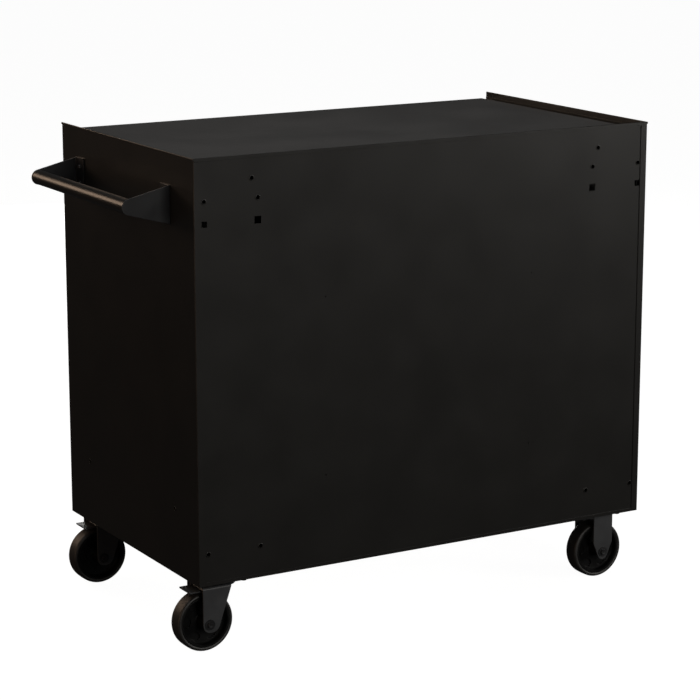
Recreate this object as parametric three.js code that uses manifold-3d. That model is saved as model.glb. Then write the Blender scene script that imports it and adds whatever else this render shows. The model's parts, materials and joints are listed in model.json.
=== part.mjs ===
// A rolling tool chest: a sheet steel cabinet with six drawers on slides, a side
// handle, a cam lock, two braked swivel casters at the handle end and two rigid ones.
//
// Millimetres, +Z up. +X is the handle end, -Y the drawer side, z = 0 the floor. Every
// piece is laid out about the cabinet's own centre line, and the outermost group then
// shifts the whole chest so that the origin is at the middle of its box, on the floor.

import * as THREE from 'three';
import { mergeVertices } from 'three/addons/utils/BufferGeometryUtils.js';
import Module from 'manifold-3d';

const wasm = await Module();
wasm.setup();

// ---------------------------------------------------------------- driving dimensions

const gap = 0.3; // left between pieces that touch
const sheet = 1.2; // cabinet and drawer sheet steel
const backSheet = 1; // back panel

const cabinet = {
  width: 1085,
  depth: 627,
  height: 865,
  floorGap: 152.2, // floor to the underside
  bend: 2, // outside radius of the folded corners
  frontFlange: 16,
  backFlange: 15.8,
  bottomFlange: 7,
};

const lip = {
  height: 18.3, // end and back lips above the tray
  hemHeight: 4.5,
  hemThickness: 2.4,
  backFold: 7,
  frontFold: 14,
};

const mat = { thickness: 3.7, sideMargin: 14.3, frontMargin: 2, backMargin: 12.5 };

const rails = { topFace: 33.2, topDepth: 28, bottomFace: 22.8, bottomDepth: 20 };

const drawers = {
  heights: [92, 92, 112, 112, 152, 194], // from the top down
  spacing: 3,
  sideClearance: 2.3, // front panel to the cabinet's front flange
  frontReturn: 12.5,
  boxHalfWidth: 511.5,
  boxDepth: 550,
  boxLift: 6, // underside of the box above the front panel's lower edge
  sideDrop: 16, // top of the box sides below the front panel's upper edge
};

const slide = {
  depth: 11.5, // across, wall to lip
  height: 36,
  length: 550,
  lipHeight: 5,
  start: 14.5, // behind the cabinet's front face
  centreLift: 37, // centre line above the front panel's lower edge
  runnerHeight: 22,
  runnerDepth: 9.6,
  runnerSheet: 1.6,
};

const pull = {
  halfWidth: 520,
  reach: 15, // in front of the cabinet's face
  topDrop: 4,
  plateHeight: 26,
  lipHeight: 14,
  wall: 1.8,
  radius: 6,
};

const handle = {
  tubeRadius: 15.3,
  tubeWall: 2,
  standOff: 88.5, // tube centre line from the end panel
  tubeHeight: 763, // above the cabinet's underside, as are the next two
  rootTop: 800,
  rootBottom: 722,
  tipRadius: 16,
  plate: 3,
  flange: 36,
  rearFace: 209, // outer faces of the two brackets, along Y
  frontFace: -239,
  screwHeights: [744, 780],
  screwHole: 7,
};

const lock = {
  x: 430,
  bore: 6.9,
  plug: 6.5,
  barrel: 9.5,
  bezel: 13,
  barrelLength: 24,
  camLength: 17,
  bar: { left: -536, right: 530, height: 12, thickness: 3, y: -285, slack: 0.5 },
};

const wheel = {
  radius: 62.3,
  treadWidth: 36,
  shoulder: 4,
  tyreDepth: 8, // rubber, from tread to rim
  hubBoss: 13,
  hubLength: 62,
  webThickness: 8,
  pockets: 6, // blind ovals in both faces of the web
  pocketWidth: 23,
  pocketLength: 18,
  pocketCentre: 36,
  skin: 2, // left between two pockets
};

const caster = {
  trackHalf: 256.7, // wheel centre planes, front and rear
  swivelWheelX: 509.3,
  swivelAxisX: 468.3,
  rigidWheelX: -466,
  plateLength: 105,
  plateWidth: 84,
  plateThickness: 3.5,
  boltSpacingX: 80,
  boltSpacingY: 60,
  boltHole: 9,
  forkInner: 33.2, // half the distance between the legs
  forkSheet: 3.3,
  crownTop: 141,
  crownBend: 5,
  raceRadius: 30,
  racePocket: 6,
  axleRadius: 6,
  headRadius: 9.5,
  headLength: 4.5,
  tipDrop: 17.3, // leg end below the axle
};

const pedal = {
  halfWidth: 24,
  pivotX: 6,
  pivotZ: 131.5,
  pivotRadius: 3,
  freeEdge: 38.3,
  top: 132.5,
  thickness: 3,
};

// Hole pattern of the back panel, as [distance from the middle, height, size].
const backRoundHoles = [
  [520.3, 779, 8.4],
  [402, 779, 8.4],
  [415, 818.4, 8.4],
  [520.3, 65.5, 8.4],
  [402, 65.5, 8.4],
  [249.5, 564.5, 3.2],
  [249.5, 193, 3.2],
];
const backSquareHoles = [
  [519.6, 734.4, 12],
  [402, 734.4, 15],
];
const endPanelHoles = { y: 208, height: 138, size: 8 };

// ---------------------------------------------------------------------- worked out

const halfWidth = cabinet.width / 2;
const halfDepth = cabinet.depth / 2;
const bottomZ = cabinet.floorGap;
const lipTopZ = bottomZ + cabinet.height;
const trayZ = lipTopZ - lip.height;
const wallInner = halfWidth - sheet;
const backPanelFace = halfDepth - sheet - gap - backSheet;
const flangeInner = halfWidth - cabinet.frontFlange;
const railTopZ = trayZ - lip.frontFold - gap;
const openingTopZ = railTopZ - rails.topFace;
const openingBottomZ = bottomZ + sheet + gap + rails.bottomFace;
const lockZ = (openingTopZ + railTopZ) / 2;
const hemOuter = halfWidth - sheet + lip.hemThickness;
const handleTipX = halfWidth + handle.standOff + handle.tipRadius;
const centreX = (handleTipX - hemOuter) / 2;
const centreY = -pull.reach / 2;

// --------------------------------------------------------------------- materials

const paint = new THREE.MeshStandardMaterial({ color: 0x15130f, roughness: 0.32, metalness: 0.1 });
const innerPaint = new THREE.MeshStandardMaterial({ color: 0x1b1a18, roughness: 0.5, metalness: 0.1 });
const forkPaint = new THREE.MeshStandardMaterial({ color: 0x202226, roughness: 0.4, metalness: 0.1 });
const zinc = new THREE.MeshStandardMaterial({ color: 0x9a9da0, roughness: 0.35, metalness: 0.9 });
const chrome = new THREE.MeshStandardMaterial({ color: 0xc4c6c8, roughness: 0.15, metalness: 1 });
const aluminium = new THREE.MeshStandardMaterial({ color: 0x8f9194, roughness: 0.4, metalness: 0.9 });
const matRubber = new THREE.MeshStandardMaterial({ color: 0x2c2b2a, roughness: 0.8, metalness: 0 });
const tyreRubber = new THREE.MeshStandardMaterial({ color: 0x1a1918, roughness: 0.6, metalness: 0 });
const hubPlastic = new THREE.MeshStandardMaterial({ color: 0x101011, roughness: 0.4, metalness: 0 });

// ----------------------------------------------------------------- shape helpers

const xAxis = new THREE.Vector3(1, 0, 0);
const yAxis = new THREE.Vector3(0, 1, 0);
const zAxis = new THREE.Vector3(0, 0, 1);

/** A closed geometry as a manifold solid. */
function solid(geometry) {
  const bare = new THREE.BufferGeometry();
  bare.setAttribute('position', geometry.getAttribute('position').clone());
  if (geometry.index) bare.setIndex(geometry.index.clone());
  const merged = mergeVertices(bare, 1e-4);
  return new wasm.Manifold(
    new wasm.Mesh({
      numProp: 3,
      vertProperties: Float32Array.from(merged.getAttribute('position').array),
      triVerts: Uint32Array.from(merged.index.array),
    }),
  );
}

function join(first, ...others) {
  return others.reduce((whole, other) => whole.add(other), first);
}

function cut(first, ...tools) {
  return tools.reduce((whole, tool) => whole.subtract(tool), first);
}

/** A solid back as a geometry that a mesh can show. */
function geometryOf(body) {
  const result = body.getMesh();
  const geometry = new THREE.BufferGeometry();
  geometry.setAttribute('position', new THREE.BufferAttribute(result.vertProperties, 3));
  geometry.setIndex(new THREE.BufferAttribute(result.triVerts, 1));
  geometry.computeVertexNormals();
  return geometry;
}

/** An axis-aligned block from its lowest and highest corners. */
function block(x0, x1, y0, y1, z0, z1) {
  const geometry = new THREE.BoxGeometry(x1 - x0, y1 - y0, z1 - z0);
  geometry.translate((x0 + x1) / 2, (y0 + y1) / 2, (z0 + z1) / 2);
  return solid(geometry);
}

/** A round bar along the given axis, centred at (x, y, z). */
function bar(axis, radius, length, x, y, z, segments = 24) {
  const geometry = new THREE.CylinderGeometry(radius, radius, length, segments);
  if (axis === 'x') geometry.rotateZ(Math.PI / 2);
  if (axis === 'z') geometry.rotateX(Math.PI / 2);
  geometry.translate(x, y, z);
  return solid(geometry);
}

function outline(points) {
  return new THREE.Shape(points.map(([a, b]) => new THREE.Vector2(a, b)));
}

function extruded(shape, depth, basis, segments) {
  const options = { depth, bevelEnabled: false, curveSegments: segments };
  const geometry = new THREE.ExtrudeGeometry(shape, options);
  geometry.applyMatrix4(basis);
  return solid(geometry);
}

/** A (y, z) outline drawn out along X. */
function alongX(shape, x0, x1, segments = 4) {
  const basis = new THREE.Matrix4().makeBasis(yAxis, zAxis, xAxis).setPosition(x0, 0, 0);
  return extruded(shape, x1 - x0, basis, segments);
}

/** An (x, z) outline drawn out along Y. */
function alongY(shape, y0, y1, segments = 4) {
  const basis = new THREE.Matrix4().makeBasis(xAxis, zAxis, yAxis.clone().negate());
  basis.setPosition(0, y1, 0);
  return extruded(shape, y1 - y0, basis, segments);
}

/** An (x, y) outline drawn out along Z. */
function alongZ(shape, z0, z1, segments = 4) {
  return extruded(shape, z1 - z0, new THREE.Matrix4().setPosition(0, 0, z0), segments);
}

/** A closed ring or disc turned about the Y axis, from (radius, y) points. */
function turned(points, x, y, z, segments) {
  const profile = points.map(([radius, along]) => new THREE.Vector2(radius, along));
  const geometry = new THREE.LatheGeometry(profile, segments);
  geometry.translate(x, y, z);
  return solid(geometry);
}

/** Mirrors a solid across the plane x = 0 when side is -1. */
function onSide(body, side) {
  return side > 0 ? body : body.mirror([1, 0, 0]);
}

const chest = new THREE.Group();
chest.position.set(-centreX, -centreY, 0);

function place(name, body, material, parent = chest) {
  const mesh = new THREE.Mesh(geometryOf(body), material.clone());
  mesh.name = name;
  parent.add(mesh);
  return mesh;
}

// ---------------------------------------------------------------- cabinet panels

/** Plan outline of an end panel: the wall with a folded flange at the front and back. */
function endPanelPlan() {
  const outer = cabinet.bend;
  const inner = cabinet.bend - sheet;
  const plan = new THREE.Shape();
  plan.moveTo(halfWidth - cabinet.backFlange, halfDepth - sheet);
  plan.lineTo(halfWidth - outer, halfDepth - sheet);
  plan.absarc(halfWidth - outer, halfDepth - outer, inner, Math.PI / 2, 0, true);
  plan.lineTo(halfWidth - sheet, -halfDepth + outer);
  plan.absarc(halfWidth - outer, -halfDepth + outer, inner, 0, -Math.PI / 2, true);
  plan.lineTo(flangeInner, -halfDepth + sheet);
  plan.lineTo(flangeInner, -halfDepth);
  plan.lineTo(halfWidth - outer, -halfDepth);
  plan.absarc(halfWidth - outer, -halfDepth + outer, outer, -Math.PI / 2, 0, false);
  plan.lineTo(halfWidth, halfDepth - outer);
  plan.absarc(halfWidth - outer, halfDepth - outer, outer, 0, Math.PI / 2, false);
  plan.lineTo(halfWidth - cabinet.backFlange, halfDepth);
  return plan;
}

/** The lip's edge is folded outwards and flat, with a round top. */
function hemSection() {
  const radius = lip.hemThickness / 2;
  const section = new THREE.Shape();
  section.moveTo(wallInner, lipTopZ - lip.hemHeight);
  section.lineTo(hemOuter, lipTopZ - lip.hemHeight);
  section.lineTo(hemOuter, lipTopZ - radius);
  section.absarc(wallInner + radius, lipTopZ - radius, radius, 0, Math.PI, false);
  return section;
}

function endPanel(side) {
  const wall = alongZ(endPanelPlan(), bottomZ, lipTopZ - lip.hemThickness / 2);
  const hem = alongY(hemSection(), -halfDepth, halfDepth, 6);
  const frontNotch = block(
    flangeInner - 1, wallInner, -halfDepth - 1, 0, railTopZ, lipTopZ + 1,
  );
  const backNotch = block(
    flangeInner - 1, wallInner, 0, halfDepth + 1, lipTopZ - lip.backFold - gap, lipTopZ + 1,
  );
  const holes = [-1, 1].map((end) =>
    bar(
      'x', endPanelHoles.size / 2, 6,
      halfWidth, end * endPanelHoles.y, bottomZ + endPanelHoles.height, 16,
    ),
  );
  return onSide(cut(join(wall, hem), frontNotch, backNotch, ...holes), side);
}

function backPanel() {
  const y1 = halfDepth - sheet - gap;
  const half = wallInner - gap;
  const panel = block(-half, half, y1 - backSheet, y1, bottomZ + sheet + gap, lipTopZ - sheet - 1);
  const tools = [];
  for (const side of [-1, 1]) {
    for (const [x, height, size] of backRoundHoles) {
      tools.push(bar('y', size / 2, 6, side * x, y1, bottomZ + height, 16));
    }
    for (const [x, height, size] of backSquareHoles) {
      const z = bottomZ + height;
      const middle = side * x;
      tools.push(block(middle - size / 2, middle + size / 2, y1 - 3, y1 + 3, z - size / 2, z + size / 2));
    }
  }
  return cut(panel, ...tools);
}

/** Tray, folded down at the front, up and over the back panel at the back. */
function topPanel() {
  const half = wallInner - gap;
  const backInner = backPanelFace - gap;
  const section = outline([
    [-halfDepth, trayZ],
    [-halfDepth, trayZ - lip.frontFold],
    [-halfDepth + sheet, trayZ - lip.frontFold],
    [-halfDepth + sheet, trayZ - sheet],
    [backInner, trayZ - sheet],
    [backInner, lipTopZ - sheet],
    [halfDepth - sheet, lipTopZ - sheet],
    [halfDepth - sheet, lipTopZ - lip.backFold],
    [halfDepth, lipTopZ - lip.backFold],
    [halfDepth, lipTopZ],
    [backInner - sheet, lipTopZ],
    [backInner - sheet, trayZ],
  ]);
  return alongX(section, -half, half);
}

function topMat() {
  const half = wallInner - mat.sideMargin;
  return block(
    -half, half,
    -halfDepth + mat.frontMargin, halfDepth - 2 * sheet - mat.backMargin,
    trayZ + gap, trayZ + gap + mat.thickness,
  );
}

function bottomPanel() {
  const half = wallInner - gap;
  const inset = halfDepth - sheet - gap;
  const flangeHalf = halfWidth - cabinet.backFlange - gap;
  const floorPlate = block(-half, half, -inset, inset, bottomZ, bottomZ + sheet);
  const flange = outline([
    [inset - 5, bottomZ],
    [halfDepth, bottomZ],
    [halfDepth, bottomZ + cabinet.bottomFlange],
    [halfDepth - sheet, bottomZ + cabinet.bottomFlange],
    [halfDepth - sheet, bottomZ + sheet],
    [inset - 5, bottomZ + sheet],
  ]);
  return join(floorPlate, alongX(flange, -flangeHalf, flangeHalf));
}

/** Inner wall that carries the slides and the lock bar, flanged out to the end panel. */
function innerSide(side) {
  const face = flangeInner - gap;
  const back = wallInner - gap;
  const front = -halfDepth + sheet + gap;
  const rear = backPanelFace - 8;
  const plan = outline([
    [face - sheet, front],
    [back, front],
    [back, front + sheet],
    [face, front + sheet],
    [face, rear - sheet],
    [back, rear - sheet],
    [back, rear],
    [face - sheet, rear],
  ]);
  const { y, thickness, height, slack } = lock.bar;
  const slot = block(
    face - 2 * sheet, face + sheet,
    y - slack, y + thickness + slack,
    lockZ - height / 2 - slack, lockZ + height / 2 + slack,
  );
  return onSide(cut(alongZ(plan, bottomZ + sheet + gap, trayZ - sheet - gap), slot), side);
}

const railHalf = flangeInner - sheet - 2 * gap;

function frontTopRail() {
  const section = outline([
    [-halfDepth, openingTopZ],
    [-halfDepth + rails.topDepth, openingTopZ],
    [-halfDepth + rails.topDepth, openingTopZ + sheet],
    [-halfDepth + sheet, openingTopZ + sheet],
    [-halfDepth + sheet, railTopZ - sheet],
    [-halfDepth + rails.topDepth, railTopZ - sheet],
    [-halfDepth + rails.topDepth, railTopZ],
    [-halfDepth, railTopZ],
  ]);
  const lockHole = bar('y', lock.barrel + gap, 10, lock.x, -halfDepth, lockZ);
  return cut(alongX(section, -railHalf, railHalf), lockHole);
}

function frontBottomRail() {
  const base = openingBottomZ - rails.bottomFace;
  const section = outline([
    [-halfDepth, base],
    [-halfDepth + sheet, base],
    [-halfDepth + sheet, openingBottomZ - sheet],
    [-halfDepth + rails.bottomDepth, openingBottomZ - sheet],
    [-halfDepth + rails.bottomDepth, openingBottomZ],
    [-halfDepth, openingBottomZ],
  ]);
  return alongX(section, -railHalf, railHalf);
}

place('end_panel_right', endPanel(1), paint);
place('end_panel_left', endPanel(-1), paint);
place('back_panel', backPanel(), paint);
place('top_panel', topPanel(), paint);
place('top_mat', topMat(), matRubber);
place('bottom_panel', bottomPanel(), paint);
place('inner_side_right', innerSide(1), innerPaint);
place('inner_side_left', innerSide(-1), innerPaint);
place('front_top_rail', frontTopRail(), paint);
place('front_bottom_rail', frontBottomRail(), paint);

// ------------------------------------------------------------------------ handle

const tubeX = halfWidth + handle.standOff;
const tubeZ = bottomZ + handle.tubeHeight;

/** Side view of a bracket arm: a wedge from its root to a round tip about the tube. */
function armOutline() {
  const rootX = halfWidth + gap;
  const tilt = (rootZ) => {
    const rise = rootZ - tubeZ;
    const run = tubeX - rootX;
    return Math.atan2(rise, run) + Math.asin(handle.tipRadius / Math.hypot(rise, run)) * -Math.sign(rise);
  };
  const topZ = bottomZ + handle.rootTop;
  const lowZ = bottomZ + handle.rootBottom;
  const shape = new THREE.Shape();
  shape.moveTo(rootX, topZ);
  shape.lineTo(rootX, lowZ);
  shape.absarc(tubeX, tubeZ, handle.tipRadius, -Math.PI / 2 - tilt(lowZ), Math.PI / 2 - tilt(topZ), false);
  return shape;
}

function handleBracket(outerY, inward) {
  const innerY = outerY + inward * handle.plate;
  const tipY = innerY + inward * handle.flange;
  const rootX = halfWidth + gap;
  const arm = alongY(armOutline(), Math.min(outerY, innerY), Math.max(outerY, innerY), 16);
  const flange = block(
    rootX, rootX + handle.plate,
    Math.min(outerY, tipY), Math.max(outerY, tipY),
    bottomZ + handle.rootBottom, bottomZ + handle.rootTop,
  );
  const holes = handle.screwHeights.map((height) =>
    bar(
      'x', handle.screwHole / 2, 12,
      rootX, innerY + inward * handle.flange / 2, bottomZ + height, 16,
    ),
  );
  return cut(join(arm, flange), ...holes);
}

function handleTube() {
  const y0 = handle.frontFace + handle.plate + gap;
  const y1 = handle.rearFace - handle.plate - gap;
  const bore = handle.tubeRadius - handle.tubeWall;
  const profile = [
    [bore, y0],
    [handle.tubeRadius, y0],
    [handle.tubeRadius, y1],
    [bore, y1],
    [bore, y0],
  ];
  return turned(profile, tubeX, 0, tubeZ, 32);
}

place('handle_bracket_rear', handleBracket(handle.rearFace, -1), forkPaint);
place('handle_bracket_front', handleBracket(handle.frontFace, 1), forkPaint);
place('handle_tube', handleTube(), paint);

// -------------------------------------------------------------------------- lock

function lockHousing() {
  const face = -halfDepth - gap;
  const bezel = bar('y', lock.bezel, 2.5, lock.x, face - 1.25, lockZ, 32);
  const barrel = bar('y', lock.barrel, lock.barrelLength, lock.x, face + lock.barrelLength / 2, lockZ, 32);
  const bore = bar('y', lock.bore, 2 * lock.barrelLength + 10, lock.x, face, lockZ, 32);
  return cut(join(bezel, barrel), bore);
}

/** The plug turns in the housing and carries a flat cam behind it. */
function lockPlug() {
  const face = -halfDepth - gap;
  const front = face - 2;
  const back = face + lock.barrelLength + 1 + 2.5;
  const core = bar('y', lock.plug, back - front, lock.x, (front + back) / 2, lockZ, 32);
  const cam = block(lock.x - 4.5, lock.x + 4.5, back - 2.5, back, lockZ - 4.5, lockZ + lock.camLength - 4.5);
  const keyway = block(lock.x - 0.9, lock.x + 0.9, front - 1, front + 12, lockZ - 4, lockZ + 4);
  return cut(join(core, cam), keyway);
}

/** Flat bar behind the top rail, carried by a slot in each inner side, that the cam shifts. */
function lockBar() {
  const { left, right, height, thickness, y } = lock.bar;
  return block(left, right, y, y + thickness, lockZ - height / 2, lockZ + height / 2);
}

place('lock_housing', lockHousing(), chrome);
place('lock_plug', lockPlug(), zinc);
place('lock_bar', lockBar(), zinc);

// ----------------------------------------------------------------------- drawers

function drawerBox(base, height) {
  const half = flangeInner - drawers.sideClearance;
  const face = -halfDepth;
  const backOfReturn = face + drawers.frontReturn;
  const top = base + height;
  const side = drawers.boxHalfWidth;
  const boxBase = base + drawers.boxLift;
  const boxTop = top - drawers.sideDrop;
  const boxBack = face + drawers.boxDepth;
  const pieces = [
    block(-half, half, face, face + sheet, base, top),
    block(-half, half, face, backOfReturn, top - sheet, top),
    block(-half, half, face, backOfReturn, base, base + sheet),
    block(-side, side, face, boxBack, boxBase, boxBase + sheet),
    block(-side, side, boxBack - sheet, boxBack, boxBase, boxTop),
  ];
  for (const end of [-1, 1]) {
    const across = (a, b) => [Math.min(end * a, end * b), Math.max(end * a, end * b)];
    pieces.push(block(...across(half - sheet, half), face, backOfReturn, base, top));
    pieces.push(block(...across(side - sheet, side), face, boxBack, boxBase, boxTop));
    pieces.push(...runner(base, across));
  }
  return join(...pieces);
}

/** The drawer's own slide member: a channel riveted along the outside of the box. */
function runner(base, across) {
  const centre = base + slide.centreLift;
  const root = drawers.boxHalfWidth - sheet / 2;
  const web = drawers.boxHalfWidth + slide.runnerSheet;
  const tip = drawers.boxHalfWidth + slide.runnerDepth;
  const y0 = -halfDepth + slide.start + 1;
  const y1 = -halfDepth + drawers.boxDepth - 2;
  const low = centre - slide.runnerHeight / 2;
  const high = centre + slide.runnerHeight / 2;
  return [
    block(...across(root, web), y0, y1, low, high),
    block(...across(root, tip), y0, y1, low, low + slide.runnerSheet),
    block(...across(root, tip), y0, y1, high - slide.runnerSheet, high),
  ];
}

/** The cabinet's slide member: a channel with inturned lips, open towards the drawer. */
function slideRail(base, side) {
  const back = flangeInner - gap - sheet - gap;
  const front = back - slide.depth;
  const low = base + slide.centreLift - slide.height / 2;
  const high = low + slide.height;
  const section = outline([
    [back, low],
    [back, high],
    [front, high],
    [front, high - slide.lipHeight],
    [front + sheet, high - slide.lipHeight],
    [front + sheet, high - sheet],
    [back - sheet, high - sheet],
    [back - sheet, low + sheet],
    [front + sheet, low + sheet],
    [front + sheet, low + slide.lipHeight],
    [front, low + slide.lipHeight],
    [front, low],
  ]);
  const y0 = -halfDepth + slide.start;
  return onSide(alongY(section, y0, y0 + slide.length), side);
}

/** Full-width pull: a plate on the drawer front that arches over into a finger lip. */
function drawerPull(top) {
  const back = -halfDepth - gap;
  const front = -halfDepth - pull.reach;
  const high = top - pull.topDrop;
  const plateFront = back - pull.wall;
  const innerRadius = pull.radius - pull.wall;
  const lipEnd = high - pull.lipHeight;
  const section = new THREE.Shape();
  section.moveTo(back, high - pull.plateHeight);
  section.lineTo(back, high);
  section.lineTo(front + pull.radius, high);
  section.absarc(front + pull.radius, high - pull.radius, pull.radius, Math.PI / 2, Math.PI, false);
  section.lineTo(front, lipEnd);
  section.lineTo(front + pull.wall, lipEnd);
  section.lineTo(front + pull.wall, high - pull.radius);
  section.absarc(front + pull.radius, high - pull.radius, innerRadius, Math.PI, Math.PI / 2, true);
  section.lineTo(plateFront, high - pull.wall);
  section.lineTo(plateFront, high - pull.plateHeight);
  return alongX(section, -pull.halfWidth, pull.halfWidth, 5);
}

let drawerTop = openingTopZ - drawers.spacing;
drawers.heights.forEach((height, index) => {
  const number = index + 1;
  const base = drawerTop - height;
  place(`drawer_${number}_box`, drawerBox(base, height), paint);
  place(`drawer_${number}_pull`, drawerPull(drawerTop), aluminium);
  place(`drawer_${number}_slide_right`, slideRail(base, 1), zinc);
  place(`drawer_${number}_slide_left`, slideRail(base, -1), zinc);
  drawerTop = base - drawers.spacing;
});

// ----------------------------------------------------------------------- casters
// Each caster is built about its own wheel centre, at x = 0 and y = 0, on the floor.

const plateTop = bottomZ - gap;
const plateBottom = plateTop - caster.plateThickness;
const rimRadius = wheel.radius - wheel.tyreDepth;
const legOuter = caster.forkInner + caster.forkSheet;
const wheelSegments = 40;

function tyre() {
  const half = wheel.treadWidth / 2;
  const bead = half - 1;
  const profile = [
    [rimRadius + gap, -bead],
    [wheel.radius - wheel.shoulder, -half],
    [wheel.radius - wheel.shoulder / 4, -half + wheel.shoulder * 0.7],
    [wheel.radius, -half + 2 * wheel.shoulder],
    [wheel.radius, half - 2 * wheel.shoulder],
    [wheel.radius - wheel.shoulder / 4, half - wheel.shoulder * 0.7],
    [wheel.radius - wheel.shoulder, half],
    [rimRadius + gap, bead],
    [rimRadius + gap, -bead],
  ];
  return turned(profile, 0, 0, wheel.radius, wheelSegments);
}

/** Moulded hub: a rim, a thin web with oval pockets, and a long boss for the axle. */
function hub() {
  const half = wheel.treadWidth / 2 - 1;
  const web = wheel.webThickness / 2;
  const rimInner = rimRadius - 4;
  const boss = wheel.hubLength / 2;
  const bore = caster.axleRadius + gap;
  const profile = [
    [bore, -boss],
    [wheel.hubBoss - 2, -boss],
    [wheel.hubBoss, -boss + 4],
    [wheel.hubBoss + 3, -web],
    [rimInner - 2, -web],
    [rimInner, -half],
    [rimRadius, -half],
    [rimRadius, half],
    [rimInner, half],
    [rimInner - 2, web],
    [wheel.hubBoss + 3, web],
    [wheel.hubBoss, boss - 4],
    [wheel.hubBoss - 2, boss],
    [bore, boss],
    [bore, -boss],
  ];
  const pockets = [];
  for (let k = 0; k < wheel.pockets; k += 1) {
    for (const face of [-1, 1]) {
      const geometry = new THREE.CylinderGeometry(0.5, 0.5, half, 12);
      geometry.scale(wheel.pocketWidth, 1, wheel.pocketLength);
      geometry.translate(0, face * (half + wheel.skin) / 2, wheel.pocketCentre);
      geometry.rotateY(((k + 0.5) * 2 * Math.PI) / wheel.pockets);
      geometry.translate(0, 0, wheel.radius);
      pockets.push(solid(geometry));
    }
  }
  return cut(turned(profile, 0, 0, wheel.radius, wheelSegments), ...pockets);
}

/** Axle bolt with a hexagon head outside one leg and a nut outside the other. */
function axle() {
  const length = 2 * (legOuter + gap + caster.headLength);
  const shank = bar('y', caster.axleRadius, length, 0, 0, wheel.radius);
  const ends = [-1, 1].map((side) =>
    bar(
      'y', caster.headRadius, caster.headLength,
      0, side * (legOuter + gap + caster.headLength / 2), wheel.radius, 6,
    ),
  );
  return join(shank, ...ends);
}

/** Front view of a bent strap: two legs joined by a crown with round corners. */
function strapSection(top, bottom) {
  const inner = caster.forkInner;
  const outerBend = caster.crownBend;
  const innerBend = outerBend - caster.forkSheet;
  const centre = legOuter - outerBend;
  const bendZ = top - outerBend;
  const section = new THREE.Shape();
  section.moveTo(-legOuter, bottom);
  section.lineTo(-inner, bottom);
  section.lineTo(-inner, bendZ);
  section.absarc(-centre, bendZ, innerBend, Math.PI, Math.PI / 2, true);
  section.lineTo(centre, top - caster.forkSheet);
  section.absarc(centre, bendZ, innerBend, Math.PI / 2, 0, true);
  section.lineTo(inner, bottom);
  section.lineTo(legOuter, bottom);
  section.lineTo(legOuter, bendZ);
  section.absarc(centre, bendZ, outerBend, 0, Math.PI / 2, false);
  section.lineTo(-centre, top);
  section.absarc(-centre, bendZ, outerBend, Math.PI / 2, Math.PI, false);
  return section;
}

/** Swivel leg seen from the side: upright in front, raked behind, round at the axle. */
function swivelLegOutline() {
  const tip = wheel.radius - caster.tipDrop;
  const outlineShape = new THREE.Shape();
  outlineShape.moveTo(14.5, caster.crownTop + 1);
  outlineShape.lineTo(-51, caster.crownTop + 1);
  outlineShape.lineTo(-22.5, 58);
  outlineShape.quadraticCurveTo(-18, tip, -3, tip);
  outlineShape.quadraticCurveTo(14.5, tip, 14.5, 66);
  return outlineShape;
}

/** Rigid leg seen from the side: a parallel strap that narrows to the axle. */
function rigidLegOutline(top) {
  const tip = wheel.radius - caster.tipDrop;
  const outlineShape = new THREE.Shape();
  outlineShape.moveTo(24.5, top);
  outlineShape.lineTo(-24.5, top);
  outlineShape.lineTo(-24.5, 84);
  outlineShape.lineTo(-13, 56);
  outlineShape.quadraticCurveTo(-8, tip, 0, tip);
  outlineShape.quadraticCurveTo(8, tip, 13, 56);
  outlineShape.lineTo(24.5, 84);
  return outlineShape;
}

function strap(top, sideOutline) {
  const section = strapSection(top, 40);
  const bent = alongX(section, -120, 60, 4);
  const side = alongY(sideOutline, -legOuter - 1, legOuter + 1, 8);
  const bore = bar('y', caster.axleRadius + gap, 2 * legOuter + 10, 0, 0, wheel.radius);
  return cut(bent.intersect(side), bore);
}

function boltHoles(centre, z) {
  const tools = [];
  for (const dx of [-1, 1]) {
    for (const dy of [-1, 1]) {
      tools.push(
        bar(
          'z', caster.boltHole / 2, 20,
          centre + dx * caster.boltSpacingX / 2, dy * caster.boltSpacingY / 2, z, 16,
        ),
      );
    }
  }
  return tools;
}

function topPlate(centre) {
  const half = caster.plateLength / 2;
  return block(
    centre - half, centre + half,
    -caster.plateWidth / 2, caster.plateWidth / 2,
    plateBottom, plateTop,
  );
}

/** Fixed half of the swivel: bolt plate, raceway ring and king pin. */
function swivelPlate(axisX) {
  const raceBottom = caster.crownTop + gap;
  const raceTop = plateBottom + 1;
  const race = bar(
    'z', caster.raceRadius, raceTop - raceBottom,
    axisX, 0, (raceTop + raceBottom) / 2, 40,
  );
  const pin = bar('z', 6, 16, axisX, 0, plateBottom - 7, 20);
  return cut(join(topPlate(axisX), race, pin), ...boltHoles(axisX, plateTop));
}

/** Turning half: the two raked legs under a round crown with the king pin hole. */
function swivelFork(axisX) {
  const crown = bar(
    'z', caster.raceRadius + 2, caster.forkSheet,
    axisX, 0, caster.crownTop - caster.forkSheet / 2, 40,
  );
  const pinHole = bar('z', caster.racePocket + 1, 20, axisX, 0, caster.crownTop, 20);
  const lugs = [-1, 1].map((side) => {
    const outer = side * (caster.forkInner + 0.5);
    const inner = side * (pedal.halfWidth + 1);
    return block(
      pedal.pivotX - 5, pedal.pivotX + 5,
      Math.min(outer, inner), Math.max(outer, inner),
      pedal.pivotZ - 5, caster.crownTop - 1,
    );
  });
  const pivotHole = bar(
    'y', pedal.pivotRadius + gap, 2 * caster.forkInner - 2,
    pedal.pivotX, 0, pedal.pivotZ, 16,
  );
  const body = join(strap(caster.crownTop, swivelLegOutline()), crown, ...lugs);
  return cut(body, pinHole, pivotHole);
}

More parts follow.
